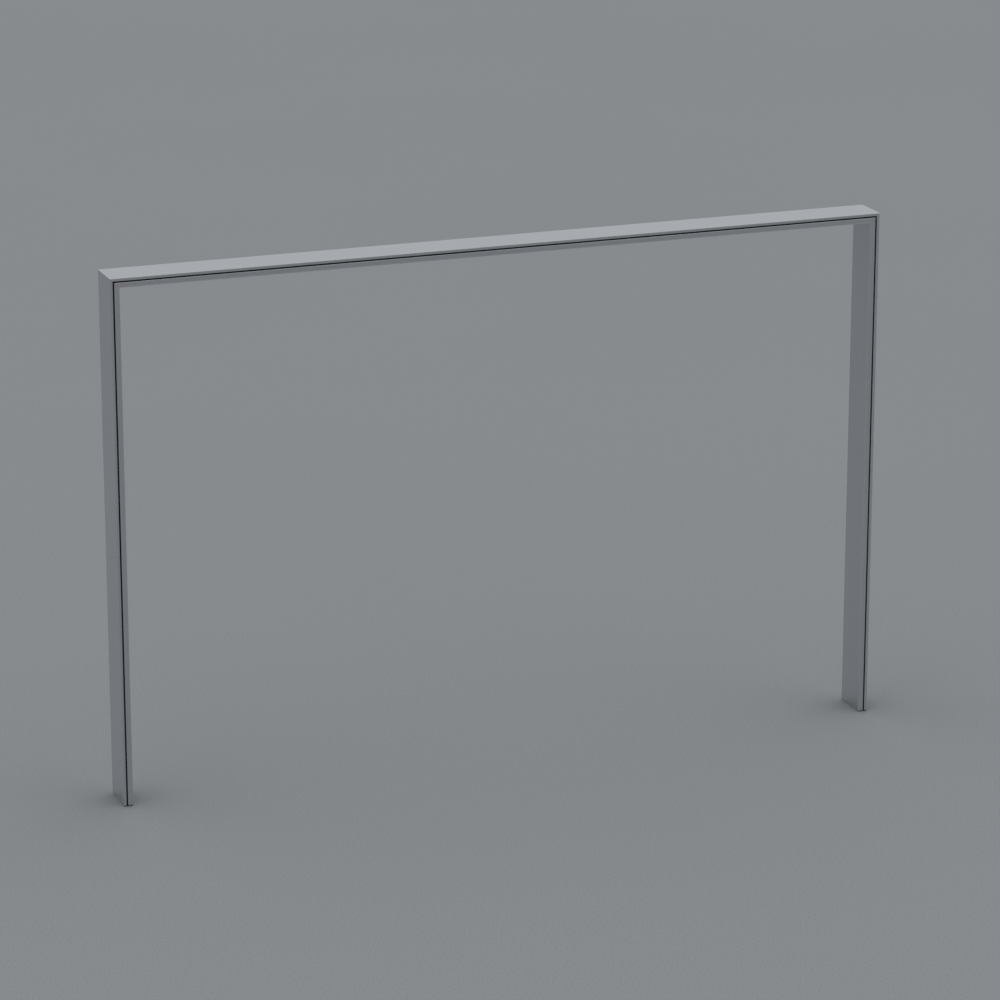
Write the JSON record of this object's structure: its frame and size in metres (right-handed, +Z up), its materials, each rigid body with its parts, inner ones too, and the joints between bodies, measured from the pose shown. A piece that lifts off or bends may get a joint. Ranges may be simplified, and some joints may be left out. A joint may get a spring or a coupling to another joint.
{
  "type": "security gate",
  "caption": "Walk-through portal for a shop entrance: slim satin aluminium legs and beam with a black seam, a hidden detection loop and clip-on service covers.",
  "frame": {"origin": "on the floor, at the middle of the footprint, under the middle of the opening", "axes": "+X across the opening towards the right leg, +Y from front to rear through the gate, +Z up"},
  "size_m": [3.32, 0.17, 2.2],
  "materials": {
    "satin_aluminium": "fine satin anodised, brushed along the length",
    "seam_black": "matt black",
    "zinc_steel": "zinc plated, slightly mottled",
    "spring_steel": "stainless spring sheet",
    "dark_screws": "black oxide",
    "black_rubber": "matt",
    "grey_nylon": "fine matt",
    "cable_jacket": "smooth matt jacket",
    "signal_jacket": "smooth matt jacket",
    "board_laminate": "solder mask",
    "chip_black": "moulded epoxy",
    "capacitor_case": "shrink sleeve",
    "terminal_green": "moulded",
    "light_lens": "tinted clear",
    "black_anodised": "black anodised",
    "module_case": "bead blasted sheet",
    "black_plastic": "fine texture",
    "rocker_red": "satin gloss",
    "button_blue": "satin gloss",
    "trimmer_blue": "moulded",
    "brass_rotor": "turned",
    "magnet_white": "moulded case"
  },
  "bodies": {
    "gate": {"base_bracket_left": "zinc_steel", "base_bracket_right": "zinc_steel", "blanking_plug": "black_rubber", "board_standoffs": "grey_nylon", "button_housing": "black_plastic", "cable_grommet": "black_rubber", "cable_saddles": "grey_nylon", "capacitors": "capacitor_case", "chips": "chip_black", "controller_board": "board_laminate", "controller_tray": "zinc_steel", "corner_bracket_left": "zinc_steel", "corner_bracket_right": "zinc_steel", "cover_clips": "spring_steel", "cover_mounts": "black_rubber", "detection_loop": "cable_jacket", "foot_pad_left": "black_rubber", "foot_pad_right": "black_rubber", "frame_screws": "dark_screws", "fuse_holder": "black_plastic", "heat_sink": "black_anodised", "inner_panel_left": "satin_aluminium", "inner_panel_right": "satin_aluminium", "inner_panel_top": "satin_aluminium", "inner_profiles": "satin_aluminium", "power_supply": "module_case", "power_switch_body": "black_plastic", "rails_left": "zinc_steel", "rails_right": "zinc_steel", "rails_top": "zinc_steel", "rungs": "zinc_steel", "seam_strips": "seam_black", "service_panel": "zinc_steel", "sounder": "black_plastic", "status_lights": "light_lens", "tamper_switch": "magnet_white", "terminal_blocks": "terminal_green", "tray_screws": "spring_steel", "trimmer_bodies": "trimmer_blue", "tuning_board": "board_laminate", "wiring": "signal_jacket"},
    "cover_left": {"outer_panel_left": "satin_aluminium", "outer_profiles_left": "satin_aluminium", "tamper_magnet": "magnet_white"},
    "cover_right": {"outer_panel_right": "satin_aluminium", "outer_profiles_right": "satin_aluminium"},
    "cover_top": {"outer_panel_top": "satin_aluminium", "outer_profiles_top": "satin_aluminium"},
    "rocker": {"power_rocker": "rocker_red"},
    "button": {"service_button": "button_blue"},
    "trimmer_front": {"trimmer_rotor_front": "brass_rotor"},
    "trimmer_rear": {"trimmer_rotor_rear": "brass_rotor"},
    "jack_foot_left_front": {"jack_disc_left_front": "spring_steel"},
    "jack_screw_left_front": {"jack_stem_left_front": "spring_steel"},
    "jack_foot_left_rear": {"jack_disc_left_rear": "spring_steel"},
    "jack_screw_left_rear": {"jack_stem_left_rear": "spring_steel"},
    "jack_foot_right_front": {"jack_disc_right_front": "spring_steel"},
    "jack_screw_right_front": {"jack_stem_right_front": "spring_steel"},
    "jack_foot_right_rear": {"jack_disc_right_rear": "spring_steel"},
    "jack_screw_right_rear": {"jack_stem_right_rear": "spring_steel"}
  },
  "joints": [
    {"name": "left_cover_pull", "type": "slide", "parent": "gate", "child": "cover_left", "axis": [-1, 0, 0], "range_m": [0, 0.15]},
    {"name": "right_cover_pull", "type": "slide", "parent": "gate", "child": "cover_right", "axis": [1, 0, 0], "range_m": [0, 0.15]},
    {"name": "top_cover_lift", "type": "slide", "parent": "gate", "child": "cover_top", "axis": [0, 0, 1], "range_m": [0, 0.15]},
    {"name": "power_rocker_tilt", "type": "hinge", "parent": "gate", "child": "rocker", "pos_m": [-1.6465, -0.02, 0.402], "axis": [0, -1, 0], "range_deg": [0, 16]},
    {"name": "service_button_press", "type": "slide", "parent": "gate", "child": "button", "axis": [1, 0, 0], "range_m": [0, 0.0025], "stiffness_N_per_m": 400, "springref_m": -0.001},
    {"name": "trimmer_front_turn", "type": "hinge", "parent": "gate", "child": "trimmer_front", "pos_m": [-1.644, -0.024, 0.162], "axis": [-1, 0, 0], "range_deg": [-120, 120]},
    {"name": "trimmer_rear_turn", "type": "hinge", "parent": "gate", "child": "trimmer_rear", "pos_m": [-1.644, -0.01, 0.162], "axis": [-1, 0, 0], "range_deg": [-120, 120]},
    {"name": "jack_travel_left_front", "type": "slide", "parent": "gate", "child": "jack_foot_left_front", "axis": [0, 0, -1], "range_m": [0, 0.0081]},
    {"name": "jack_turn_left_front", "type": "hinge", "parent": "jack_foot_left_front", "child": "jack_screw_left_front", "pos_m": [-1.64, -0.064, 0.02], "axis": [0, 0, -1], "range_deg": [0, 2304]},
    {"name": "jack_travel_left_rear", "type": "slide", "parent": "gate", "child": "jack_foot_left_rear", "axis": [0, 0, -1], "range_m": [0, 0.0081]},
    {"name": "jack_turn_left_rear", "type": "hinge", "parent": "jack_foot_left_rear", "child": "jack_screw_left_rear", "pos_m": [-1.64, 0.064, 0.02], "axis": [0, 0, -1], "range_deg": [0, 2304]},
    {"name": "jack_travel_right_front", "type": "slide", "parent": "gate", "child": "jack_foot_right_front", "axis": [0, 0, -1], "range_m": [0, 0.0081]},
    {"name": "jack_turn_right_front", "type": "hinge", "parent": "jack_foot_right_front", "child": "jack_screw_right_front", "pos_m": [1.64, -0.064, 0.02], "axis": [0, 0, -1], "range_deg": [0, 2304]},
    {"name": "jack_travel_right_rear", "type": "slide", "parent": "gate", "child": "jack_foot_right_rear", "axis": [0, 0, -1], "range_m": [0, 0.0081]},
    {"name": "jack_turn_right_rear", "type": "hinge", "parent": "jack_foot_right_rear", "child": "jack_screw_right_rear", "pos_m": [1.64, 0.064, 0.02], "axis": [0, 0, -1], "range_deg": [0, 2304]}
  ],
  "couplings": [
    {"joint": "jack_travel_left_front", "follows": "jack_turn_left_front", "m_per_rad": 0.00019894},
    {"joint": "jack_travel_left_rear", "follows": "jack_turn_left_rear", "m_per_rad": 0.00019894},
    {"joint": "jack_travel_right_front", "follows": "jack_turn_right_front", "m_per_rad": 0.00019894},
    {"joint": "jack_travel_right_rear", "follows": "jack_turn_right_rear", "m_per_rad": 0.00019894}
  ]
}
